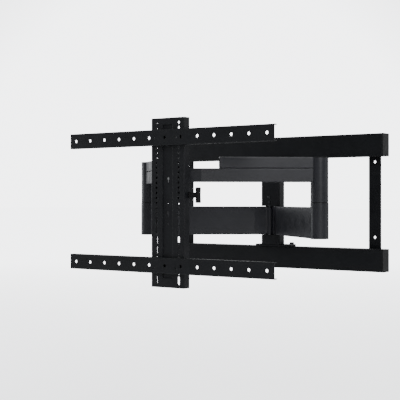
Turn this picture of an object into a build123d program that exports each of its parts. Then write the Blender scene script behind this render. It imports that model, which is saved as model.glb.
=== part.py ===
from build123d import *
from math import cos, radians, sin
import os

# Full motion wall mount for a flat panel.
# Frame: the wall is the plane Y = 0, +Y points into the wall, X runs to the right, Z up.
# The origin is the middle of the wall frame, on its wall face.  Millimetres throughout.

# ---- driving dimensions -------------------------------------------------------------
# wall frame
RAIL_HALF_LENGTH = 362.0
RAIL_INNER_Z = 127.0
RAIL_OUTER_Z = 190.0
RAIL_FRONT_Y = -42.0
RAIL_BACK_Y = -4.0
RAIL_WALL = 3.0
RAIL_LIP = 14.0
END_CAP = 3.0
STRAP_X = 322.0
STRAP_WIDTH = 36.0
WALL_HOLE_R = 4.0
WALL_HOLE_Z_HIGH = 113.0
WALL_HOLE_Z_LOW = -96.0
STRAP_SCREW_Z = (134.0, 183.0)
SMALL_SCREW_R = 2.5
SMALL_HEAD_R = 3.6
SMALL_HEAD_HIGH = 1.2
SLOT_HALF_LENGTH = 150.0
SLOT_WIDTH = 9.0
CLAMP_Y = -23.0

# column that slides on the rails; everything in front of it is centred on COLUMN_X
COLUMN_X = 22.0
COLUMN_HALF = 31.0
COLUMN_FRONT_Y = -68.5
SPINE_FRONT_Y = -45.5
SPINE_BACK_Y = -42.3
FOOT_HALF = 59.0
FOOT_THICK = 6.0
SLIDE_GAP = 0.3
UPPER_BLOCK_Z = -10.2
LOWER_BLOCK_Z = -93.3
BLOCK_WALL = 3.5
PIVOT_PLATE = 8.0
FOOT_CENTRE_Y = -39.5
FOOT_DEEP = 49.0
FOOT_CORNER_R = 12.0
CLAMP_X = 45.0
CLAMP_R = 4.0
CLAMP_BAR = 7.0
CLAMP_BAR_DEEP = 20.0
CLAMP_HEAD_R = 7.2
CLAMP_HEAD_HIGH = 5.5
COVER_SCREW_X = -4.0
COVER_SCREW_Z = (15.5, 1.0)

# arms: two equal pairs, so that the head travels straight out
ARM_LENGTH = 350.0
ARM_ANGLE = 39.7
PIVOT_HALF_GAP = 10.0
WALL_PIVOT_Y = -56.0
REAR_Z = (-92.5, -11.0)
FRONT_TUBE_Z = (53.0, 87.8)
COVER_Z = (88.0, 116.8)
COVER_START = 93.0
ARM_HALF_THICK = 14.0
ARM_WALL = 3.0
TAPER_START = 12.5
TAPER_END = 46.0
KNUCKLE_R = 9.2
TONGUE_END = 62.0
TONGUE_HALF = 5.8
PIN_R = 5.0
BUSH_R = 7.0
BUSH_LENGTH = 12.0
PIVOT_HEAD_R = 8.0
RUNNING = 0.05
OPEN_PIVOT_GAP = 0.3

# elbows
LOWER_ELBOW_R = 23.5
UPPER_ELBOW_R = 22.75
ELBOW_PIN_R = 8.0
ELBOW_BUSH_R = 10.5
LOWER_ELBOW_Z = (-90.5, -0.6)
UPPER_ELBOW_Z = (1.0, 114.8)
ELBOW_CAP = 2.0
ELBOW_PIN_RELIEF = 3.0

# head; depths below are measured back from the front face of the panel rails
PANEL_Y = -565.3
PANEL_RAIL_HALF = 320.0
PANEL_RAIL_HIGH = 40.0
PANEL_RAIL_DEPTH = 12.0
PANEL_RAIL_Z = (163.6, -156.4)
PANEL_HOLE_PITCH = 50.0
PANEL_HOLES = 13
PANEL_HOLE_R = 4.3
SHEET = 2.5
MAST_HALF = 52.0
MAST_TOP = 213.4
MAST_BOTTOM = -212.1
MAST_DEPTH = 22.0
MAST_COLUMN_X = 35.0
MAST_HOLE_R = 3.4
MAST_HOLE_PITCH = 12.5
MAST_HOLES = 19
MAST_HOLE_TOP = 200.4
MAST_SLOTS = 7
MAST_SLOT_TOP = -43.1
MAST_SLOT_PITCH = 25.0
MAST_SLOT_HIGH = 21.0
RECESS_HALF = 16.0
RECESS_Z = (-188.0, 196.0)
FIXING_X = 35.0
FIXING_Z = (162.9, -162.4)
FIXING_R = 3.0
FIXING_NUT_R = 5.0
FIXING_NUT_HIGH = 5.0
# keyholes and pilot holes down the mast's recess, as height and radius
RECESS_HOLES = ((61.0, 4.0), (-25.0, 3.5), (0.0, 2.0), (-52.0, 2.0))
KEYHOLE_Z = (57.0, -29.0)
KEYHOLE_HALF = 1.8
SWIVEL_DEPTH = 31.0
TILT_Z = 70.0
LOCK_Z = 19.5
LOCK_DEPTH = 37.0
LOCK_R = 4.0
LOCK_NOTCH_R = 9.0
TILT_RANGE = (-3.0, 10.0)
YOKE_Z = (46.0, 95.0)
YOKE_PLATE = 5.0
YOKE_HALF = 21.0
YOKE_CORNER_R = 6.0
YOKE_DEPTH = (50.5, 73.5)
YOKE_WEB = 2.0
HUB_R = 7.0
PIN_HEAD = 2.5
CARRIER_TOP = (98.5, 102.5)
CARRIER_BOTTOM = (39.0, 43.0)
CARRIER_DEPTH = (24.0, 38.0)
CARRIER_BACK = (51.5, 54.0)
CARRIER_BACK_Z = (-1.0, 41.0)
SWIVEL_HEAD_R = 6.0
SWIVEL_HEAD_HIGH = 3.0
TILT_HEAD_R = 7.5
TILT_HEAD_HIGH = 3.5
LOCK_SLOT_STEPS = 16
LOCK_HEAD_R = 7.2
LOCK_HEAD_HIGH = 6.0
LOCK_TAIL_X = 56.0
EAR_X = (42.0, 46.0)
SIDE_PLATE_X = (46.3, 49.5)
HANDLE_X = (72.0, 82.0)
HANDLE_HALF = 19.5
HANDLE_HALF_DEEP = 7.0
STEM_R = 7.5
STEM_GAP = 0.8

# a margin that lets a cut run clear of the face it starts from
CLEAR = 1.0

SIDES = {"left": -1, "right": 1}
FOOT_Z = RAIL_INNER_Z - SLIDE_GAP - FOOT_THICK
BAR_Z = RAIL_INNER_Z + RAIL_WALL + SLIDE_GAP
HEAD_PIVOT_Y = WALL_PIVOT_Y - 2 * ARM_LENGTH * sin(radians(ARM_ANGLE))
os.makedirs("parts", exist_ok=True)


def save(piece, label):
    """Name a finished piece and write it as its own STEP file."""
    piece.part.label = label
    export_step(piece.part, f"parts/{label}.step")


def deep(depth):
    """Y of a plane that lies this far behind the front of the panel rails."""
    return PANEL_Y + depth


def block(x_range, y_range, z_range, mode=Mode.ADD):
    """A box between two corners."""
    centre = [(low + high) / 2 for low, high in (x_range, y_range, z_range)]
    size = [high - low for low, high in (x_range, y_range, z_range)]
    with Locations(tuple(centre)):
        Box(*size, mode=mode)


def post(x, y, z_range, radius, mode=Mode.ADD):
    """An upright round bar or bore."""
    with BuildSketch(Plane.XY.offset(z_range[0])) as disc:
        with Locations((x, y)):
            Circle(radius)
    extrude(disc.sketch, amount=z_range[1] - z_range[0], mode=mode)


def bar_y(x, z, y_range, radius, mode=Mode.ADD):
    """A round bar or bore that runs from front to back."""
    with BuildSketch(Plane(origin=(x, y_range[1], z), x_dir=(1, 0, 0), z_dir=(0, -1, 0))) as disc:
        Circle(radius)
    extrude(disc.sketch, amount=y_range[1] - y_range[0], mode=mode)


def bar_x(y, z, x_range, radius, mode=Mode.ADD):
    """A round bar or bore that runs from left to right."""
    with BuildSketch(Plane(origin=(x_range[0], y, z), x_dir=(0, 1, 0), z_dir=(1, 0, 0))) as disc:
        Circle(radius)
    extrude(disc.sketch, amount=x_range[1] - x_range[0], mode=mode)


def wall_pivot(side):
    return (COLUMN_X + side * PIVOT_HALF_GAP, WALL_PIVOT_Y)


def head_pivot(side):
    return (COLUMN_X + side * PIVOT_HALF_GAP, HEAD_PIVOT_Y)


def elbow(side):
    reach = PIVOT_HALF_GAP + ARM_LENGTH * cos(radians(ARM_ANGLE))
    return (COLUMN_X + side * reach, (WALL_PIVOT_Y + HEAD_PIVOT_Y) / 2)


def arm_plane(side, start, z):
    """A level plane at a pivot, with x running along the arm to its elbow."""
    end = elbow(side)
    run = (end[0] - start[0], end[1] - start[1], 0)
    return Plane(origin=(start[0], start[1], z), x_dir=run, z_dir=(0, 0, 1))


def arm_outline(half, start, taper_end, narrow, finish):
    """Half-thickness `narrow` at the pivot end, widening to the full arm."""
    Polygon(
        (start, -narrow), (taper_end, -half), (finish, -half),
        (finish, half), (taper_end, half), (start, narrow), align=None,
    )


# ---- wall frame ---------------------------------------------------------------------
def wall_rail(up, label):
    """C-section rail, open to the wall, with a long clamp slot in its inner flange."""
    inner, outer = RAIL_INNER_Z, RAIL_OUTER_Z
    with BuildPart() as rail:
        with BuildSketch(Plane.YZ.offset(-RAIL_HALF_LENGTH)):
            middle = ((RAIL_FRONT_Y + RAIL_BACK_Y) / 2, up * (inner + outer) / 2)
            with Locations(middle):
                RectangleRounded(RAIL_BACK_Y - RAIL_FRONT_Y, outer - inner, RAIL_WALL)
                Rectangle(RAIL_BACK_Y - RAIL_FRONT_Y - 2 * RAIL_WALL, outer - inner - 2 * RAIL_WALL,
                          mode=Mode.SUBTRACT)
            with Locations((RAIL_BACK_Y, middle[1])):
                Rectangle(4 * RAIL_WALL, outer - inner - 2 * RAIL_LIP, mode=Mode.SUBTRACT)
        extrude(amount=2 * RAIL_HALF_LENGTH)
        with BuildSketch(Plane.XY.offset(up * (inner + RAIL_WALL / 2))):
            with Locations((0, CLAMP_Y)):
                SlotOverall(2 * SLOT_HALF_LENGTH, SLOT_WIDTH)
        extrude(amount=RAIL_WALL, both=True, mode=Mode.SUBTRACT)
        for x in (-STRAP_X, STRAP_X):
            for z in STRAP_SCREW_Z:
                bar_y(x, up * z, (RAIL_BACK_Y - 2 * RAIL_WALL, RAIL_BACK_Y + CLEAR), SMALL_SCREW_R,
                      Mode.SUBTRACT)
    save(rail, label)


wall_rail(1, "wall_rail_upper")
wall_rail(-1, "wall_rail_lower")

# four plastic caps close the rail ends, each with a plug that fits inside the rail
with BuildPart() as rail_end_caps:
    for side in (-1, 1):
        for up in (-1, 1):
            middle_z = up * (RAIL_INNER_Z + RAIL_OUTER_Z) / 2
            middle_y = (RAIL_FRONT_Y + RAIL_BACK_Y) / 2
            face = Plane(origin=(side * RAIL_HALF_LENGTH, middle_y, middle_z),
                         x_dir=(0, 1, 0), z_dir=(side, 0, 0))
            high = RAIL_OUTER_Z - RAIL_INNER_Z
            wide = RAIL_BACK_Y - RAIL_FRONT_Y
            with BuildSketch(face):
                RectangleRounded(wide, high, RAIL_WALL)
            extrude(amount=END_CAP)
            with BuildSketch(face):
                RectangleRounded(wide - 2 * RAIL_WALL, high - 2 * RAIL_WALL, RAIL_WALL)
                RectangleRounded(wide - 4 * RAIL_WALL, high - 4 * RAIL_WALL, 1, mode=Mode.SUBTRACT)
            extrude(amount=-4 * END_CAP)
save(rail_end_caps, "rail_end_caps")


def wall_strap(side, label):
    """Flat upright strap behind both rails, with the holes that take the wall bolts."""
    with BuildPart() as strap:
        with BuildSketch(Plane(origin=(side * STRAP_X, 0, 0), x_dir=(1, 0, 0), z_dir=(0, -1, 0))):
            RectangleRounded(STRAP_WIDTH, 2 * RAIL_OUTER_Z, 3)
            with Locations((0, WALL_HOLE_Z_HIGH), (0, WALL_HOLE_Z_LOW)):
                Circle(WALL_HOLE_R, mode=Mode.SUBTRACT)
            for z in STRAP_SCREW_Z:
                with Locations((0, z), (0, -z)):
                    Circle(SMALL_SCREW_R, mode=Mode.SUBTRACT)
        extrude(amount=-RAIL_BACK_Y)
    save(strap, label)


for name, side in SIDES.items():
    wall_strap(side, f"wall_strap_{name}")

# short screws hold the straps to the lips of the rails
with BuildPart() as strap_screws:
    for x in (-STRAP_X, STRAP_X):
        for z in STRAP_SCREW_Z:
            for up in (-1, 1):
                bar_y(x, up * z, (RAIL_BACK_Y - RAIL_WALL, 0), SMALL_SCREW_R)
                bar_y(x, up * z, (RAIL_BACK_Y - 2 * RAIL_WALL, RAIL_BACK_Y - RAIL_WALL), SMALL_HEAD_R)
save(strap_screws, "strap_screws")

# ---- column -------------------------------------------------------------------------
with BuildPart() as column_spine:
    block((COLUMN_X - COLUMN_HALF, COLUMN_X + COLUMN_HALF), (SPINE_FRONT_Y, SPINE_BACK_Y), (-FOOT_Z, FOOT_Z))
save(column_spine, "column_spine")


def column_block(z_range, plate_at_low_end, label):
    """Formed box in front of the spine; a thick plate at one end holds the pivot pins."""
    low, high = z_range
    cavity_low = low + (PIVOT_PLATE if plate_at_low_end else BLOCK_WALL)
    cavity_high = high - (BLOCK_WALL if plate_at_low_end else PIVOT_PLATE)
    with BuildPart() as column:
        block((COLUMN_X - COLUMN_HALF, COLUMN_X + COLUMN_HALF), (COLUMN_FRONT_Y, SPINE_FRONT_Y), z_range)
        uprights = column.edges().filter_by(Axis.Z).group_by(Axis.Y)[0]
        fillet(uprights, 2.5)
        inner_half = COLUMN_HALF - BLOCK_WALL
        block((COLUMN_X - inner_half, COLUMN_X + inner_half),
              (COLUMN_FRONT_Y + BLOCK_WALL, SPINE_FRONT_Y + 1), (cavity_low, cavity_high), Mode.SUBTRACT)
        for side in SIDES.values():
            x, y = wall_pivot(side)
            post(x, y, (low - 1, low + PIVOT_PLATE + 1) if plate_at_low_end
                 else (high - PIVOT_PLATE - 1, high + 1), PIN_R, Mode.SUBTRACT)
        if plate_at_low_end:
            for z in COVER_SCREW_Z:
                bar_y(COLUMN_X + COVER_SCREW_X, z, (COLUMN_FRONT_Y - CLEAR, COLUMN_FRONT_Y + 2 * BLOCK_WALL),
                      SMALL_SCREW_R, Mode.SUBTRACT)
    save(column, label)


column_block((UPPER_BLOCK_Z, FOOT_Z), True, "column_upper_block")
column_block((-FOOT_Z, LOWER_BLOCK_Z), False, "column_lower_block")

with BuildPart() as column_screws:
    for z in COVER_SCREW_Z:
        bar_y(COLUMN_X + COVER_SCREW_X, z, (COLUMN_FRONT_Y, COLUMN_FRONT_Y + BLOCK_WALL), SMALL_SCREW_R)
        bar_y(COLUMN_X + COVER_SCREW_X, z, (COLUMN_FRONT_Y - SMALL_HEAD_HIGH, COLUMN_FRONT_Y), SMALL_HEAD_R)
save(column_screws, "column_screws")


def foot_plate(up, label):
    """Rounded foot that bears on the rail; two clamp screws pass through it."""
    low = FOOT_Z if up > 0 else -FOOT_Z - FOOT_THICK
    with BuildPart() as foot:
        with BuildSketch(Plane.XY.offset(low)):
            with Locations((COLUMN_X, FOOT_CENTRE_Y)):
                RectangleRounded(2 * FOOT_HALF, FOOT_DEEP, FOOT_CORNER_R)
            with Locations((COLUMN_X - CLAMP_X, CLAMP_Y), (COLUMN_X + CLAMP_X, CLAMP_Y)):
                Circle(CLAMP_R, mode=Mode.SUBTRACT)
        extrude(amount=FOOT_THICK)
        chamfer(foot.faces().sort_by(Axis.Z)[0 if up > 0 else -1].outer_wire().edges(), 1.0)
    save(foot, label)


foot_plate(1, "foot_plate_upper")
foot_plate(-1, "foot_plate_lower")

with BuildPart() as rail_clamp_bars:
    for up in (-1, 1):
        low = BAR_Z if up > 0 else -BAR_Z - CLAMP_BAR
        with BuildSketch(Plane.XY.offset(low)):
            with Locations((COLUMN_X, CLAMP_Y)):
                RectangleRounded(2 * FOOT_HALF - 4, CLAMP_BAR_DEEP, 4)
            with Locations((COLUMN_X - CLAMP_X, CLAMP_Y), (COLUMN_X + CLAMP_X, CLAMP_Y)):
                Circle(CLAMP_R, mode=Mode.SUBTRACT)
        extrude(amount=CLAMP_BAR)
save(rail_clamp_bars, "rail_clamp_bars")

# hexagon-headed screws below the upper foot and above the lower foot
with BuildPart() as clamp_screws:
    for up in (-1, 1):
        for x in (COLUMN_X - CLAMP_X, COLUMN_X + CLAMP_X):
            shank = sorted((up * FOOT_Z, up * (BAR_Z + CLAMP_BAR)))
            post(x, CLAMP_Y, shank, CLAMP_R)
            with BuildSketch(Plane.XY.offset(FOOT_Z - CLAMP_HEAD_HIGH if up > 0 else -FOOT_Z)):
                with Locations((x, CLAMP_Y)):
                    RegularPolygon(CLAMP_HEAD_R, 6)
            extrude(amount=CLAMP_HEAD_HIGH)
save(clamp_screws, "clamp_screws")

# two pins side by side carry the rear arms
with BuildPart() as wall_pivot_pins:
    for side in SIDES.values():
        x, y = wall_pivot(side)
        post(x, y, (LOWER_BLOCK_Z - PIVOT_PLATE, UPPER_BLOCK_Z + PIVOT_PLATE), PIN_R)
        post(x, y, (LOWER_BLOCK_Z - PIVOT_PLATE - 5, LOWER_BLOCK_Z - PIVOT_PLATE), PIVOT_HEAD_R)
        post(x, y, (UPPER_BLOCK_Z + PIVOT_PLATE, UPPER_BLOCK_Z + PIVOT_PLATE + 6), PIVOT_HEAD_R)
save(wall_pivot_pins, "wall_pivot_pins")


# ---- arms ---------------------------------------------------------------------------


def arm_tube(side, start, z_range, elbow_radius, label, first=TAPER_START):
    """Hollow arm, coped to the elbow at one end and open for its knuckle at the other."""
    low, high = z_range
    end = elbow(side)
    tapered = first < TAPER_END
    narrow = KNUCKLE_R if tapered else ARM_HALF_THICK
    taper = TAPER_END if tapered else first + 1
    with BuildPart() as tube:
        with BuildSketch(arm_plane(side, start, low)):
            arm_outline(ARM_HALF_THICK, first, taper, narrow, ARM_LENGTH)
        extrude(amount=high - low)
        post(end[0], end[1], (low - 1, high + 1), elbow_radius, Mode.SUBTRACT)
        fillet(tube.edges().filter_by(Plane.XY).filter_by(GeomType.LINE).filter_by(
            lambda edge: edge.length > ARM_LENGTH / 2), 2.0)
        with BuildSketch(arm_plane(side, start, low + ARM_WALL)):
            inner = ARM_HALF_THICK - ARM_WALL
            arm_outline(inner, first - 1, taper, narrow - ARM_WALL, ARM_LENGTH - elbow_radius - 6)
        extrude(amount=high - low - 2 * ARM_WALL, mode=Mode.SUBTRACT)
    save(tube, label)


def arm_knuckle(side, start, z_range, bore, label):
    """Barrel round the pivot, with a tongue that plugs the end of the arm tube."""
    low, high = z_range
    with BuildPart() as knuckle:
        with BuildSketch(arm_plane(side, start, low)):
            Circle(KNUCKLE_R)
        extrude(amount=high - low)
        with BuildSketch(arm_plane(side, start, low + ARM_WALL)):
            with Locations((TONGUE_END / 2, 0)):
                Rectangle(TONGUE_END, 2 * TONGUE_HALF)
        extrude(amount=high - low - 2 * ARM_WALL)
        post(start[0], start[1], (low - 1, high + 1), bore, Mode.SUBTRACT)
    save(knuckle, label)


def pivot_bushes(start, z_range, outer, inner, length, label):
    """A pair of plain bushes, one at each end of a bore."""
    low, high = z_range
    with BuildPart() as bushes:
        for z in ((low, low + length), (high - length, high)):
            post(start[0], start[1], z, outer)
            post(start[0], start[1], z, inner, Mode.SUBTRACT)
    save(bushes, label)


def build_rear_arm(name, side):
    start = wall_pivot(side)
    x, y = elbow(side)
    arm_tube(side, start, REAR_Z, LOWER_ELBOW_R, f"rear_arm_tube_{name}")
    arm_knuckle(side, start, REAR_Z, BUSH_R, f"rear_arm_knuckle_{name}")
    pivot_bushes(start, REAR_Z, BUSH_R, PIN_R + RUNNING, BUSH_LENGTH, f"wall_pivot_bushes_{name}")

    with BuildPart() as housing:
        post(x, y, LOWER_ELBOW_Z, LOWER_ELBOW_R)
        fillet(housing.edges().sort_by(Axis.Z)[-1], 0.8)
        post(x, y, (LOWER_ELBOW_Z[0] - 1, LOWER_ELBOW_Z[1] + 1), ELBOW_PIN_R, Mode.SUBTRACT)
    save(housing, f"elbow_lower_housing_{name}")

    with BuildPart() as pin:
        post(x, y, (LOWER_ELBOW_Z[0], UPPER_ELBOW_Z[1] - ELBOW_PIN_RELIEF), ELBOW_PIN_R)
        chamfer(pin.edges().sort_by(Axis.Z)[-1], 1.0)
    save(pin, f"elbow_pin_{name}")

    with BuildPart() as washer:
        post(x, y, (LOWER_ELBOW_Z[1], UPPER_ELBOW_Z[0] - SLIDE_GAP), LOWER_ELBOW_R - 2)
        post(x, y, (LOWER_ELBOW_Z[1] - 1, UPPER_ELBOW_Z[0]), ELBOW_PIN_R, Mode.SUBTRACT)
    save(washer, f"elbow_thrust_washer_{name}")

    with BuildPart() as cap:
        post(x, y, (LOWER_ELBOW_Z[0] - ELBOW_CAP, LOWER_ELBOW_Z[0]), LOWER_ELBOW_R)
        fillet(cap.edges().sort_by(Axis.Z)[0], 1.2)
    save(cap, f"elbow_bottom_cap_{name}")


def build_front_arm(name, side):
    start = head_pivot(side)
    x, y = elbow(side)
    # the left head pivot is left open in the mechanism, so its bushes run with more room
    head_gap = OPEN_PIVOT_GAP if name == "left" else RUNNING
    arm_tube(side, start, FRONT_TUBE_Z, UPPER_ELBOW_R, f"front_arm_tube_{name}")
    arm_knuckle(side, start, FRONT_TUBE_Z, BUSH_R, f"front_arm_knuckle_{name}")
    pivot_bushes(start, FRONT_TUBE_Z, BUSH_R, PIN_R + head_gap, BUSH_LENGTH, f"head_pivot_bushes_{name}")
    arm_tube(side, start, COVER_Z, UPPER_ELBOW_R, f"cable_cover_{name}", first=COVER_START)

    with BuildPart() as housing:
        post(x, y, UPPER_ELBOW_Z, UPPER_ELBOW_R)
        fillet(housing.edges().sort_by(Axis.Z)[0], 0.8)
        post(x, y, (UPPER_ELBOW_Z[0] - 1, UPPER_ELBOW_Z[1] + 1), ELBOW_BUSH_R, Mode.SUBTRACT)
    save(housing, f"elbow_upper_housing_{name}")
    pivot_bushes((x, y), (UPPER_ELBOW_Z[0], UPPER_ELBOW_Z[1] - ELBOW_PIN_RELIEF), ELBOW_BUSH_R,
                 ELBOW_PIN_R + RUNNING, 2 * BUSH_LENGTH, f"elbow_bushes_{name}")

    with BuildPart() as cap:
        post(x, y, (UPPER_ELBOW_Z[1], UPPER_ELBOW_Z[1] + ELBOW_CAP), UPPER_ELBOW_R)
        fillet(cap.edges().sort_by(Axis.Z)[-1], 1.2)
        post(x, y, (UPPER_ELBOW_Z[1] - 2.5, UPPER_ELBOW_Z[1]), ELBOW_BUSH_R)
    save(cap, f"elbow_top_cap_{name}")


for name, side in SIDES.items():
    build_rear_arm(name, side)
    build_front_arm(name, side)

# ---- head yoke ----------------------------------------------------------------------

with BuildPart() as head_yoke:
    middle_y = deep(sum(YOKE_DEPTH) / 2)
    for z in (YOKE_Z[0], YOKE_Z[1] - YOKE_PLATE):
        with BuildSketch(Plane.XY.offset(z)):
            with Locations((COLUMN_X, middle_y)):
                RectangleRounded(2 * YOKE_HALF, YOKE_DEPTH[1] - YOKE_DEPTH[0], YOKE_CORNER_R)
        extrude(amount=YOKE_PLATE)
    web = (deep(YOKE_DEPTH[0]), deep(YOKE_DEPTH[0] + YOKE_WEB))
    block((COLUMN_X - YOKE_HALF + YOKE_CORNER_R, COLUMN_X + YOKE_HALF - YOKE_CORNER_R), web, YOKE_Z)
    block((COLUMN_X - HUB_R, COLUMN_X + HUB_R), (deep(SWIVEL_DEPTH), web[1]), YOKE_Z)
    post(COLUMN_X, deep(SWIVEL_DEPTH), YOKE_Z, HUB_R)
    post(COLUMN_X, deep(SWIVEL_DEPTH), (YOKE_Z[0] - 1, YOKE_Z[1] + 1), PIN_R + RUNNING, Mode.SUBTRACT)
    for side in SIDES.values():
        x, y = head_pivot(side)
        post(x, y, (YOKE_Z[0] - 1, YOKE_Z[1] + 1), PIN_R, Mode.SUBTRACT)
save(head_yoke, "head_yoke")

with BuildPart() as head_pivot_pins:
    for side in SIDES.values():
        x, y = head_pivot(side)
        post(x, y, YOKE_Z, PIN_R)
        post(x, y, (YOKE_Z[1], YOKE_Z[1] + PIN_HEAD), PIVOT_HEAD_R)
save(head_pivot_pins, "head_pivot_pins")

# ---- swivel carrier: turns on the yoke and holds the tilt pivots ---------------------

with BuildPart() as swivel_carrier:
    for z in (CARRIER_TOP, CARRIER_BOTTOM):
        block((COLUMN_X - EAR_X[0], COLUMN_X + EAR_X[0]), (deep(CARRIER_DEPTH[0]), deep(CARRIER_DEPTH[1])), z)
        post(COLUMN_X, deep(SWIVEL_DEPTH), (z[0] - 1, z[1] + 1), PIN_R, Mode.SUBTRACT)
    # a back plate ties the lower ends of the two ears
    block((COLUMN_X - EAR_X[0], COLUMN_X + EAR_X[0]), (deep(CARRIER_BACK[0]), deep(CARRIER_BACK[1])),
          CARRIER_BACK_Z)
    for side in SIDES.values():
        inner = COLUMN_X + side * EAR_X[0]
        with BuildSketch(Plane.YZ.offset(inner)):
            ear = ((24, 102.5), (38, 102.5), (38, 97), (34, 91), (34, 45), (50, 45),
                   (54, 41), (54, -1), (50, -5), (31, -5), (24, 36))
            Polygon(*[(deep(depth), z) for depth, z in ear], align=None)
            with Locations((deep(SWIVEL_DEPTH), TILT_Z)):
                Circle(PIN_R, mode=Mode.SUBTRACT)
            # round slot that lets the lock bolt follow the tilt
            for step in range(LOCK_SLOT_STEPS):
                share = step / (LOCK_SLOT_STEPS - 1)
                turn = radians(TILT_RANGE[0] + share * (TILT_RANGE[1] - TILT_RANGE[0]))
                out, up = LOCK_DEPTH - SWIVEL_DEPTH, LOCK_Z - TILT_Z
                spot = (deep(SWIVEL_DEPTH) + out * cos(turn) - up * sin(turn),
                        TILT_Z + up * cos(turn) + out * sin(turn))
                with Locations(spot):
                    Circle(LOCK_R + OPEN_PIVOT_GAP, mode=Mode.SUBTRACT)
        extrude(amount=side * (EAR_X[1] - EAR_X[0]))
save(swivel_carrier, "swivel_carrier")

with BuildPart() as swivel_pin:
    post(COLUMN_X, deep(SWIVEL_DEPTH), (CARRIER_BOTTOM[0], CARRIER_TOP[1]), PIN_R)
    post(COLUMN_X, deep(SWIVEL_DEPTH), (CARRIER_TOP[1], CARRIER_TOP[1] + SWIVEL_HEAD_HIGH), SWIVEL_HEAD_R)
    post(COLUMN_X, deep(SWIVEL_DEPTH), (CARRIER_BOTTOM[0] - SWIVEL_HEAD_HIGH, CARRIER_BOTTOM[0]),
         SWIVEL_HEAD_R)
save(swivel_pin, "swivel_pin")

with BuildPart() as tilt_pivot_bolts:
    for side in SIDES.values():
        near = COLUMN_X + side * (EAR_X[0] - TILT_HEAD_HIGH)
        ear_inner = COLUMN_X + side * EAR_X[0]
        tip = COLUMN_X + side * (SIDE_PLATE_X[1] - 0.2)
        bar_x(deep(SWIVEL_DEPTH), TILT_Z, sorted((near, ear_inner)), TILT_HEAD_R)
        bar_x(deep(SWIVEL_DEPTH), TILT_Z, sorted((ear_inner, tip)), PIN_R)
save(tilt_pivot_bolts, "tilt_pivot_bolts")

# ---- tilting head -------------------------------------------------------------------
with BuildPart() as mast:
    mast_y = (deep(PANEL_RAIL_DEPTH), deep(PANEL_RAIL_DEPTH + MAST_DEPTH))
    block((COLUMN_X - MAST_HALF, COLUMN_X + MAST_HALF), mast_y, (MAST_BOTTOM, MAST_TOP))
    fillet(mast.edges().filter_by(Axis.Z).group_by(Axis.Y)[0], 2.4)
    block((COLUMN_X - MAST_HALF + SHEET, COLUMN_X + MAST_HALF - SHEET),
          (mast_y[0] + SHEET, mast_y[1] + 1), (MAST_BOTTOM + SHEET, MAST_TOP - SHEET), Mode.SUBTRACT)
    # pressed recess down the middle of the front
    block((COLUMN_X - RECESS_HALF, COLUMN_X + RECESS_HALF), (mast_y[0] - 1, mast_y[0] + SHEET), RECESS_Z,
          Mode.SUBTRACT)
    block((COLUMN_X - RECESS_HALF - SHEET, COLUMN_X + RECESS_HALF + SHEET),
          (mast_y[0] + SHEET, mast_y[0] + 2 * SHEET), (RECESS_Z[0] - SHEET, RECESS_Z[1] + SHEET))
    through = (mast_y[0] - 1, mast_y[0] + 3 * SHEET)
    for side in SIDES.values():
        x = COLUMN_X + side * MAST_COLUMN_X
        for step in range(MAST_HOLES):
            bar_y(x, MAST_HOLE_TOP - step * MAST_HOLE_PITCH, through, MAST_HOLE_R, Mode.SUBTRACT)
        for step in range(MAST_SLOTS):
            z = MAST_SLOT_TOP - step * MAST_SLOT_PITCH
            with BuildSketch(Plane(origin=(x, through[1], z), x_dir=(1, 0, 0), z_dir=(0, -1, 0))):
                SlotOverall(MAST_SLOT_HIGH, 2 * MAST_HOLE_R, rotation=90)
            extrude(amount=through[1] - through[0], mode=Mode.SUBTRACT)
    # keyholes and pilot holes in the recess
    for z, radius in RECESS_HOLES:
        bar_y(COLUMN_X, z, through, radius, Mode.SUBTRACT)
    for z in KEYHOLE_Z:
        block((COLUMN_X - KEYHOLE_HALF, COLUMN_X + KEYHOLE_HALF), through, (z - 6, z + 2), Mode.SUBTRACT)
    # the side flanges are notched round the lock bolt and the stem of its handle
    bar_x(deep(LOCK_DEPTH), LOCK_Z, (COLUMN_X - MAST_HALF - 1, COLUMN_X + MAST_HALF + 1), LOCK_NOTCH_R,
          Mode.SUBTRACT)
save(mast, "mast")


def side_plate(side, label):
    """Plate riveted inside the mast's flange; it carries the tilt pivot and the lock bolt."""
    near = COLUMN_X + side * SIDE_PLATE_X[0]
    with BuildPart() as plate:
        with BuildSketch(Plane.YZ.offset(near)):
            outline = ((16, 105), (45, 105), (49, 101), (49, 96), (36, 91), (36, 50),
                       (49, 44), (49, -5), (45, -9), (16, -9))
            Polygon(*[(deep(depth), z) for depth, z in outline], align=None)
            with Locations((deep(SWIVEL_DEPTH), TILT_Z)):
                Circle(PIN_R + RUNNING, mode=Mode.SUBTRACT)
            with Locations((deep(LOCK_DEPTH), LOCK_Z)):
                Circle(LOCK_R, mode=Mode.SUBTRACT)
        extrude(amount=side * (SIDE_PLATE_X[1] - SIDE_PLATE_X[0]))
    save(plate, label)


for name, side in SIDES.items():
    side_plate(side, f"tilt_side_plate_{name}")

# one long bolt ties both side plates; the handle runs on its right end
with BuildPart() as tilt_lock_bolt:
    bar_x(deep(LOCK_DEPTH), LOCK_Z, (COLUMN_X - LOCK_TAIL_X, COLUMN_X + HANDLE_X[0] + 2), LOCK_R)
    with BuildSketch(Plane(origin=(COLUMN_X - SIDE_PLATE_X[1], deep(LOCK_DEPTH), LOCK_Z),
                           x_dir=(0, 1, 0), z_dir=(-1, 0, 0))):
        RegularPolygon(LOCK_HEAD_R, 6)
    extrude(amount=LOCK_HEAD_HIGH)
save(tilt_lock_bolt, "tilt_lock_bolt")

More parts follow.
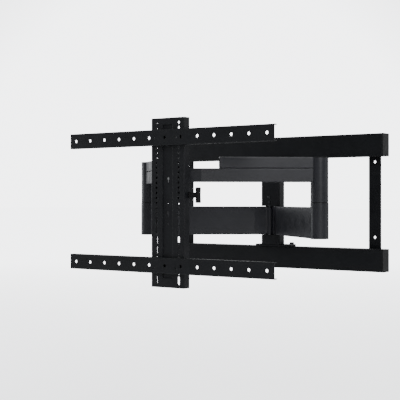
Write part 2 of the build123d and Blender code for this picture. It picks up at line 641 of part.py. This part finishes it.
with BuildPart() as tilt_lock_handle:
    stem_start = COLUMN_X + SIDE_PLATE_X[1] + STEM_GAP
    bar_x(deep(LOCK_DEPTH), LOCK_Z, (stem_start, COLUMN_X + HANDLE_X[0]), STEM_R)
    block((COLUMN_X + HANDLE_X[0], COLUMN_X + HANDLE_X[1]),
          (deep(LOCK_DEPTH - HANDLE_HALF_DEEP), deep(LOCK_DEPTH + HANDLE_HALF_DEEP)),
          (LOCK_Z - HANDLE_HALF, LOCK_Z + HANDLE_HALF))
    fillet(tilt_lock_handle.edges().filter_by(Axis.X).filter_by(lambda edge: edge.length > 9), 3)
    fillet(tilt_lock_handle.faces().sort_by(Axis.X)[-1].edges(), 1.5)
    bar_x(deep(LOCK_DEPTH), LOCK_Z, (stem_start - CLEAR, COLUMN_X + HANDLE_X[0] + 3), LOCK_R + RUNNING,
          Mode.SUBTRACT)
save(tilt_lock_handle, "tilt_lock_handle")


def panel_rail(z, fixing_z, label):
    """Folded channel with the holes that take the panel's screws."""
    with BuildPart() as rail:
        depth = (deep(0), deep(PANEL_RAIL_DEPTH))
        span = (COLUMN_X - PANEL_RAIL_HALF, COLUMN_X + PANEL_RAIL_HALF)
        half = PANEL_RAIL_HIGH / 2
        block(span, depth, (z - half, z + half))
        fillet(rail.edges().filter_by(Axis.X).group_by(Axis.Y)[0], 2.0)
        block((span[0] - CLEAR, span[1] + CLEAR), (depth[0] + SHEET, depth[1] + CLEAR),
              (z - half + SHEET, z + half - SHEET), Mode.SUBTRACT)
        for step in range(PANEL_HOLES):
            x = COLUMN_X + (step - (PANEL_HOLES - 1) / 2) * PANEL_HOLE_PITCH
            bar_y(x, z, (depth[0] - 1, depth[0] + 2 * SHEET), PANEL_HOLE_R, Mode.SUBTRACT)
        for side in SIDES.values():
            bar_y(COLUMN_X + side * FIXING_X, fixing_z, (depth[0] - CLEAR, depth[0] + 2 * SHEET), FIXING_R,
                  Mode.SUBTRACT)
    save(rail, label)


panel_rail(PANEL_RAIL_Z[0], FIXING_Z[0], "panel_rail_upper")
panel_rail(PANEL_RAIL_Z[1], FIXING_Z[1], "panel_rail_lower")

# screws clamp each panel rail to a pair of holes in the mast, with their nuts behind it
with BuildPart() as panel_rail_screws:
    for z in FIXING_Z:
        for side in SIDES.values():
            x = COLUMN_X + side * FIXING_X
            bar_y(x, z, (deep(0.4), deep(PANEL_RAIL_DEPTH + SHEET)), FIXING_R)
            nut_front = PANEL_RAIL_DEPTH + SHEET
            bar_y(x, z, (deep(nut_front), deep(nut_front + FIXING_NUT_HIGH)), FIXING_NUT_R)
save(panel_rail_screws, "panel_rail_screws")
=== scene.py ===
from math import cos, pi, radians, sin, sqrt

import bmesh
import bpy
from mathutils import Matrix, Vector


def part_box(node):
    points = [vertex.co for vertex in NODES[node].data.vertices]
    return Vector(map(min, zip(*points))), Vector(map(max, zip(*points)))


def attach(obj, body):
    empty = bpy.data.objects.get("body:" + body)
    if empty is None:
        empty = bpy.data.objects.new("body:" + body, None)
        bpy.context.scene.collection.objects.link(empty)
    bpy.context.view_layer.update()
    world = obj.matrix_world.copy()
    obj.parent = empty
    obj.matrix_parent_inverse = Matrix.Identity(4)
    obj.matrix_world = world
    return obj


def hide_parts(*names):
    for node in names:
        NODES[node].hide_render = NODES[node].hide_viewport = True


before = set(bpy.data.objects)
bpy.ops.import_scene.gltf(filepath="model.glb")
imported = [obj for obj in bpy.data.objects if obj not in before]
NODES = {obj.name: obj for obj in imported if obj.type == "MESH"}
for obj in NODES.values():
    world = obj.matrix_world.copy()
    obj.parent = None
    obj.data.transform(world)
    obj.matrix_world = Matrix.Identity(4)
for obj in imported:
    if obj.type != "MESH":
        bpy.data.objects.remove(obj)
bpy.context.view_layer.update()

MM = 0.001
SIDES = ("left", "right")

# scales of the noise that clouds, smears and chips a finish, in cycles per metre
CLOUD_SCALE = 14.0
SMEAR_SCALE = 45.0
WORN_EDGE = 1.4 * MM
BUMP_HEIGHT = 0.12 * MM
# faces that meet at a larger angle than this, in degrees, keep a sharp edge
SHARP_ANGLE = 35


# ---- materials ----------------------------------------------------------------------
def noise(tree, scale, detail, coordinate):
    node = tree.nodes.new("ShaderNodeTexNoise")
    node.inputs["Scale"].default_value = scale
    node.inputs["Detail"].default_value = detail
    tree.links.new(coordinate, node.inputs["Vector"])
    return node.outputs["Fac"]


def ramp(tree, source, low, high, low_value, high_value):
    node = tree.nodes.new("ShaderNodeMapRange")
    tree.links.new(source, node.inputs["Value"])
    sockets = ("From Min", "From Max", "To Min", "To Max")
    for socket, value in zip(sockets, (low, high, low_value, high_value)):
        node.inputs[socket].default_value = value
    return node.outputs["Result"]


def mix(tree, factor, first, second):
    node = tree.nodes.new("ShaderNodeMix")
    node.data_type = "RGBA"
    tree.links.new(factor, node.inputs[0])
    for socket, colour in ((node.inputs[6], first), (node.inputs[7], second)):
        if isinstance(colour, tuple):
            socket.default_value = (*colour, 1)
        else:
            tree.links.new(colour, socket)
    return node.outputs[2]


def seen_only(tree, value):
    """A value that the camera sees, and that lights nothing."""
    product = tree.nodes.new("ShaderNodeMath")
    product.operation = "MULTIPLY"
    tree.links.new(value, product.inputs[0])
    tree.links.new(tree.nodes.new("ShaderNodeLightPath").outputs["Is Camera Ray"], product.inputs[1])
    return product.outputs[0]


def edge_mask(tree, radius):
    """1 on the rounded part of an edge, 0 on flat faces, and the rounded normal itself."""
    bevel = tree.nodes.new("ShaderNodeBevel")
    bevel.samples = 6
    bevel.inputs["Radius"].default_value = radius
    geometry = tree.nodes.new("ShaderNodeNewGeometry")
    dot = tree.nodes.new("ShaderNodeVectorMath")
    dot.operation = "DOT_PRODUCT"
    tree.links.new(bevel.outputs[0], dot.inputs[0])
    tree.links.new(geometry.outputs["Normal"], dot.inputs[1])
    return ramp(tree, dot.outputs["Value"], 0.995, 0.86, 0.0, 1.0), bevel.outputs[0]


def surface(name, dark, pale, worn, rough, grain_mm, bump, metallic=0.0, wear=0.35, brushed=False,
            specular=0.5):
    """A finish with cloudy colour, fine grain, rounded edge highlights and light wear."""
    material = bpy.data.materials.new(name)
    material.use_nodes = True
    tree = material.node_tree
    shader = tree.nodes["Principled BSDF"]
    shader.inputs["Metallic"].default_value = metallic
    shader.inputs["Specular IOR Level"].default_value = specular
    place = tree.nodes.new("ShaderNodeTexCoord").outputs["Object"]
    if brushed:
        stretch = tree.nodes.new("ShaderNodeMapping")
        stretch.inputs["Scale"].default_value = (1.0, 1.0, 0.05)
        tree.links.new(place, stretch.inputs["Vector"])
        grain_place = stretch.outputs["Vector"]
    else:
        grain_place = place
    cloud = noise(tree, CLOUD_SCALE, 4.0, place)
    grain = noise(tree, 1.0 / (grain_mm * MM), 3.0, grain_place)
    smear = noise(tree, SMEAR_SCALE, 6.0, place)
    edge, rounded = edge_mask(tree, WORN_EDGE)
    colour = mix(tree, ramp(tree, cloud, 0.3, 0.7, 0.0, 1.0), dark, pale)
    chipped = ramp(tree, smear, 0.45, 0.7, 0.0, wear)
    multiply = tree.nodes.new("ShaderNodeMath")
    multiply.operation = "MULTIPLY"
    tree.links.new(edge, multiply.inputs[0])
    tree.links.new(chipped, multiply.inputs[1])
    colour = mix(tree, multiply.outputs[0], colour, worn)
    tree.links.new(colour, shader.inputs["Base Color"])
    tree.links.new(ramp(tree, smear, 0.3, 0.75, rough - 0.06, rough + 0.09), shader.inputs["Roughness"])
    relief = tree.nodes.new("ShaderNodeBump")
    relief.inputs["Strength"].default_value = bump
    relief.inputs["Distance"].default_value = BUMP_HEIGHT
    tree.links.new(grain, relief.inputs["Height"])
    tree.links.new(rounded, relief.inputs["Normal"])
    tree.links.new(relief.outputs["Normal"], shader.inputs["Normal"])
    return material


# each finish: darkest and palest colour, worn edge, roughness, grain size in mm, bump
# the rail, panel and arm coats are copies of one black powder coat: the rail copy is darkened as painted
# shade, the panel copy keeps the plain colour
SHADE_DARKENED_RAIL_COAT = surface("rail_powder_coat_painted_shade",
                    (0.0040, 0.0044, 0.0055), (0.0060, 0.0066, 0.0080), (0.05, 0.052, 0.057),
                    0.44, 0.5, 0.30, specular=0.22)
PANEL_COAT = surface("panel_powder_coat",
                     (0.0060, 0.0065, 0.0080), (0.0085, 0.0092, 0.0110), (0.06, 0.062, 0.067),
                     0.42, 0.45, 0.28, specular=0.25)
# the arm copy of the same black powder coat is paled as painted light, to stand in for the light its faces
# catch
LIGHT_PALED_ARM_COAT = surface("arm_powder_coat_painted_light",
                   (0.0150, 0.0156, 0.0195), (0.0190, 0.0198, 0.0245), (0.08, 0.082, 0.09),
                   0.36, 0.6, 0.20, specular=0.35)
PLASTIC = surface("moulded_plastic",
                  (0.0040, 0.0040, 0.0044), (0.0060, 0.0060, 0.0065), (0.02, 0.02, 0.022),
                  0.50, 0.35, 0.45, wear=0.2, specular=0.25)
SCREW_STEEL = surface("blackened_steel", (0.035, 0.036, 0.04), (0.055, 0.056, 0.06), (0.35, 0.35, 0.36),
                      0.36, 0.2, 0.15, metallic=0.9, wear=0.6)
PIN_STEEL = surface("ground_steel", (0.42, 0.42, 0.43), (0.50, 0.50, 0.51), (0.7, 0.7, 0.71),
                    0.25, 0.15, 0.12, metallic=1.0, brushed=True)
BUSH = surface("bush_polymer", (0.06, 0.06, 0.058), (0.08, 0.08, 0.077), (0.12, 0.12, 0.12),
               0.5, 0.3, 0.2, wear=0.1)


def finish_for(node):
    """The finish of a carried-over CAD node, chosen by what the piece is."""
    if node in ("rail_end_caps", "tilt_lock_handle") or "cap_" in node and node.startswith("elbow"):
        return PLASTIC
    if "washer" in node:
        return PLASTIC
    if "bushes" in node:
        return BUSH
    if node.startswith("elbow_pin") or node in ("wall_pivot_pins", "head_pivot_pins", "swivel_pin"):
        return PIN_STEEL
    if "screws" in node or "bolt" in node:
        return SCREW_STEEL
    # the rail coat is the darkened copy of the powder coat (painted shade), and the arm coat below is the
    # paled copy (painted light)
    if node.startswith(("wall_rail", "wall_strap", "foot_plate", "column", "rail_clamp")):
        return SHADE_DARKENED_RAIL_COAT
    if node.startswith(("panel_rail", "mast", "tilt_side", "swivel_carrier", "head_yoke")):
        return PANEL_COAT
    return LIGHT_PALED_ARM_COAT


for node, thing in NODES.items():
    thing.data.materials.clear()
    thing.data.materials.append(finish_for(node))


# ---- mesh helpers -------------------------------------------------------------------
def piece(name, mesh, material, body):
    """Make an object from a bmesh, and ride it on a CAD body."""
    data = bpy.data.meshes.new(name)
    bmesh.ops.recalc_face_normals(mesh, faces=mesh.faces)
    mesh.to_mesh(data)
    mesh.free()
    thing = bpy.data.objects.new(name, data)
    bpy.context.scene.collection.objects.link(thing)
    data.materials.append(material)
    data.shade_smooth()
    data.set_sharp_from_angle(angle=radians(SHARP_ANGLE))
    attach(thing, body)
    return thing


def rings(mesh, loops, closed_path=False):
    """Skin a row of equal vertex loops, and cap the ends if the row is open."""
    rows = [[mesh.verts.new(point) for point in loop] for loop in loops]
    count = len(rows[0])
    pairs = list(zip(rows, rows[1:]))
    if closed_path:
        pairs.append((rows[-1], rows[0]))
    for first, second in pairs:
        for index in range(count):
            after = (index + 1) % count
            mesh.faces.new((first[index], first[after], second[after], second[index]))
    if not closed_path:
        mesh.faces.new(list(reversed(rows[0])))
        mesh.faces.new(rows[-1])


def turned(mesh, place, profile, sides=40):
    """A turned solid from (distance along, radius, corners) rows; corners 6 makes a hexagon."""
    loops = []
    for along, radius, corners in profile:
        loop = []
        for index in range(sides):
            angle = 2 * pi * index / sides
            reach = radius
            if corners:
                sector = 2 * pi / corners
                reach = radius * cos(sector / 2) / cos((angle % sector) - sector / 2)
            loop.append(place @ Vector((reach * cos(angle), reach * sin(angle), along)))
        loops.append(loop)
    rings(mesh, loops)


def facing(origin, direction):
    """A transform whose local z points along the direction."""
    return Matrix.Translation(origin) @ Vector(direction).to_track_quat("Z", "Y").to_matrix().to_4x4()


# ---- screws of the panel rails ------------------------------------------------------
def panel_screws():
    low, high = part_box("panel_rail_screws")
    mesh = bmesh.new()
    radius = 5.0 * MM
    depth = high.y - low.y
    for x in (low.x + radius, high.x - radius):
        for z in (low.z + radius, high.z - radius):
            place = facing((x, low.y, z), (0, 1, 0))
            # socket floor, socket mouth, crowned head, shank, washer and nut, from front to back
            turned(mesh, place, [
                (2.2 * MM, 0.2 * MM, 6), (2.2 * MM, 1.7 * MM, 6), (0.15 * MM, 1.8 * MM, 6),
                (0.0, 2.2 * MM, 0), (0.2 * MM, 2.8 * MM, 0), (0.6 * MM, 3.0 * MM, 0),
                (depth - 5.0 * MM, 3.0 * MM, 0), (depth - 5.0 * MM, 5.0 * MM, 0),
                (depth - 4.2 * MM, 5.0 * MM, 0), (depth - 4.2 * MM, 4.7 * MM, 6),
                (depth - 0.8 * MM, 4.7 * MM, 6), (depth - 0.4 * MM, 4.2 * MM, 0),
                (depth - 0.4 * MM, 3.0 * MM, 0), (depth, 2.8 * MM, 0),
            ])
    made = piece("panel_rail_socket_screws", mesh, SCREW_STEEL, "panel_head")
    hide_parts("panel_rail_screws")


# ---- clamp screws of the feet -------------------------------------------------------
def foot_screws():
    low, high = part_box("clamp_screws")
    head = 7.2 * MM
    mesh = bmesh.new()
    foot_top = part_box("foot_plate_lower")[1].z
    middle_y = (low.y + high.y) / 2
    for x in (low.x + head, high.x - head):
        for up in (-1, 1):
            inside = high.z if up > 0 else -low.z
            seat = -foot_top
            place = facing((x, middle_y, up * (seat - 5.5 * MM)), (0, 0, up))
            length = inside - (seat - 5.5 * MM)
            turned(mesh, place, [
                (0.0, 5.6 * MM, 0), (0.5 * MM, 6.4 * MM, 0), (0.9 * MM, head, 6), (4.0 * MM, head, 6),
                (4.0 * MM, head * 0.99, 0), (5.5 * MM, head * 0.99, 0), (5.5 * MM, 4.0 * MM, 0),
                (length - 0.6 * MM, 4.0 * MM, 0), (length, 3.4 * MM, 0),
            ])
    made = piece("foot_clamp_screws", mesh, SCREW_STEEL, "column")
    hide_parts("clamp_screws")


# ---- tilt lock handle ---------------------------------------------------------------
def lock_handle():
    """T-shaped grip: a waisted bar with rounded ends, on a ribbed stem with a collar."""
    low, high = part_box("tilt_lock_handle")
    middle = (low + high) / 2
    grip_start = high.x - 10.0 * MM
    mesh = bmesh.new()
    half = (high.z - low.z) / 2
    rows = 28
    loops = []
    for row in range(rows + 1):
        t = -1 + 2 * row / rows
        end = sqrt(max(0.0, 1 - max(0.0, abs(t) - 0.90) ** 2 / 0.0104))
        waist = 1 - 0.16 * cos(t * pi / 2) ** 2 + 0.02 * cos(t * 9 * pi)
        wide = 6.6 * MM * min(1.0, waist) * (0.55 + 0.45 * end)
        deep = 4.9 * MM * (0.62 + 0.38 * end)
        loop = []
        for index in range(32):
            angle = 2 * pi * index / 32
            # squarish cross-section with soft corners
            c, s = cos(angle), sin(angle)
            reach = 1 / (abs(c) ** 5 + abs(s) ** 5) ** 0.2
            loop.append(Vector((grip_start + 5.0 * MM + deep * reach * c, middle.y + wide * reach * s,
                                middle.z + t * half)))
        loops.append(loop)
    rings(mesh, loops)
    place = facing((low.x, middle.y, middle.z), (1, 0, 0))
    length = grip_start - low.x + 1.5 * MM
    profile = [(0.0, 7.0 * MM, 0), (0.5 * MM, 7.5 * MM, 0), (3.5 * MM, 7.5 * MM, 0), (4.0 * MM, 6.3 * MM, 0)]
    ribs = 5
    for rib in range(ribs):
        start = 4.0 * MM + rib * (length - 8.0 * MM) / ribs
        profile += [(start + 0.8 * MM, 6.3 * MM, 0), (start + 1.3 * MM, 6.9 * MM, 0),
                    (start + 2.0 * MM, 6.9 * MM, 0), (start + 2.5 * MM, 6.3 * MM, 0)]
    profile += [(length - 2.0 * MM, 6.6 * MM, 0), (length, 7.5 * MM, 0)]
    turned(mesh, place, profile)
    made = piece("tilt_lock_grip", mesh, PLASTIC, "lock_handle")
    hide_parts("tilt_lock_handle")


# ---- dust rings of the elbows -------------------------------------------------------
DUST_RING_WIDE = 1.6 * MM


def dust_rings():
    """A thin lipped ring closes the seam between the two halves of each elbow."""
    for side in SIDES:
        seam_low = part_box(f"elbow_lower_housing_{side}")[1].z
        low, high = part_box(f"elbow_upper_housing_{side}")
        middle = (low + high) / 2
        seam = low.z - seam_low
        outer = (high.x - low.x) / 2 - 0.05 * MM
        # reach and rise of the ring's section: a flat back, and two lips with a groove between
        section = (
            (outer - DUST_RING_WIDE, 0.0), (outer - 0.1 * MM, 0.0), (outer, 0.3 * MM),
            (outer - 0.15 * MM, seam * 0.5), (outer, seam * 0.8), (outer, seam * 0.97),
            (outer - DUST_RING_WIDE, seam * 0.97),
        )
        mesh = bmesh.new()
        loops = []
        steps = 72
        for step in range(steps):
            angle = 2 * pi * step / steps
            out = Vector((cos(angle), sin(angle), 0))
            spot = Vector((middle.x, middle.y, seam_low))
            loops.append([spot + out * reach + Vector((0, 0, rise)) for reach, rise in section])
        rings(mesh, loops, closed_path=True)
        piece(f"elbow_dust_ring_{side}", mesh, PLASTIC, f"rear_arm_{side}")


panel_screws()
foot_screws()
lock_handle()
dust_rings()


# ---- stage, light and camera --------------------------------------------------------
# level direction from the camera's side of the mount to the sweep behind it
BACKWARD = (-0.588, 0.809, 0.0)


def stage_material():
    material = bpy.data.materials.new("studio_paper")
    material.use_nodes = True
    tree = material.node_tree
    shader = tree.nodes["Principled BSDF"]
    shader.inputs["Roughness"].default_value = 0.9
    place = tree.nodes.new("ShaderNodeTexCoord").outputs["Object"]
    paper = ramp(tree, noise(tree, 3.0, 3.0, place), 0.3, 0.7, 0.0, 1.0)
    tree.links.new(mix(tree, paper, (0.86, 0.86, 0.87), (0.90, 0.90, 0.91)), shader.inputs["Base Color"])
    # the paper glows more with distance, so that it runs into the bright sweep without an edge
    away = tree.nodes.new("ShaderNodeVectorMath")
    away.operation = "DOT_PRODUCT"
    away.inputs[1].default_value = BACKWARD
    tree.links.new(place, away.inputs[0])
    glow = ramp(tree, away.outputs["Value"], 0.0, 7.0, 2.0, 4.2)
    tree.links.new(seen_only(tree, glow), shader.inputs["Emission Strength"])
    shader.inputs["Emission Color"].default_value = (0.97, 0.98, 1.0, 1)
    return material


FLOOR_Z = -0.62
FLOOR_HALF = 60.0


def floor():
    """A level floor well below the mount, which hangs on a wall that isn't shown."""
    mesh = bmesh.new()
    signs = ((-1, -1), (1, -1), (1, 1), (-1, 1))
    corners = [Vector((x * FLOOR_HALF, y * FLOOR_HALF, FLOOR_Z)) for x, y in signs]
    mesh.faces.new([mesh.verts.new(corner) for corner in corners])
    data = bpy.data.meshes.new("floor")
    mesh.to_mesh(data)
    mesh.free()
    thing = bpy.data.objects.new("floor", data)
    bpy.context.scene.collection.objects.link(thing)
    data.materials.append(stage_material())


def area_light(name, place, target, size, power, colour=(1, 1, 1)):
    data = bpy.data.lights.new(name, "AREA")
    data.shape = "RECTANGLE"
    data.size, data.size_y = size
    data.energy = power
    data.color = colour
    thing = bpy.data.objects.new(name, data)
    thing.location = place
    thing.rotation_euler = (Vector(target) - Vector(place)).to_track_quat("-Z", "Y").to_euler()
    bpy.context.scene.collection.objects.link(thing)


def studio():
    """A pale sweep behind the mount and a dimmer room in front of it, with three soft lights."""
    world = bpy.data.worlds.new("studio")
    bpy.context.scene.world = world
    world.use_nodes = True
    tree = world.node_tree
    background = tree.nodes["Background"]
    background.inputs["Color"].default_value = (0.97, 0.98, 1.0, 1)
    direction = tree.nodes.new("ShaderNodeTexCoord").outputs["Generated"]
    dot = tree.nodes.new("ShaderNodeVectorMath")
    dot.operation = "DOT_PRODUCT"
    dot.inputs[1].default_value = BACKWARD
    tree.links.new(direction, dot.inputs[0])
    room = ramp(tree, dot.outputs["Value"], 0.2, 0.85, 0.30, 1.75)
    sweep = seen_only(tree, ramp(tree, dot.outputs["Value"], 0.93, 0.975, 0.0, 3.2))
    total = tree.nodes.new("ShaderNodeMath")
    total.operation = "ADD"
    tree.links.new(room, total.inputs[0])
    tree.links.new(sweep, total.inputs[1])
    tree.links.new(total.outputs[0], background.inputs["Strength"])
    area_light("key", (2.3, -2.3, 1.5), (0, -0.3, 0), (0.9, 2.0), 62)
    area_light("left_window", (-2.6, -0.9, 0.8), (0, -0.3, 0), (0.9, 2.0), 22, (0.94, 0.97, 1.0))
    area_light("right_strip", (2.4, 0.9, 0.5), (0.2, -0.3, 0), (0.4, 1.8), 3)


# The camera stands level, to the front right, 36 degrees off the wall's normal.
CAMERA_PLACE = (1.5398, -2.501, 0.0074)
CAMERA_TURN = 36.04
FOCAL = 88.83
SENSOR = 36.0


def camera():
    data = bpy.data.cameras.new("camera")
    data.sensor_width = SENSOR
    data.lens = FOCAL
    thing = bpy.data.objects.new("camera", data)
    thing.location = CAMERA_PLACE
    thing.rotation_euler = (radians(90), 0, radians(CAMERA_TURN))
    bpy.context.scene.collection.objects.link(thing)
    bpy.context.scene.camera = thing


floor()
studio()
camera()
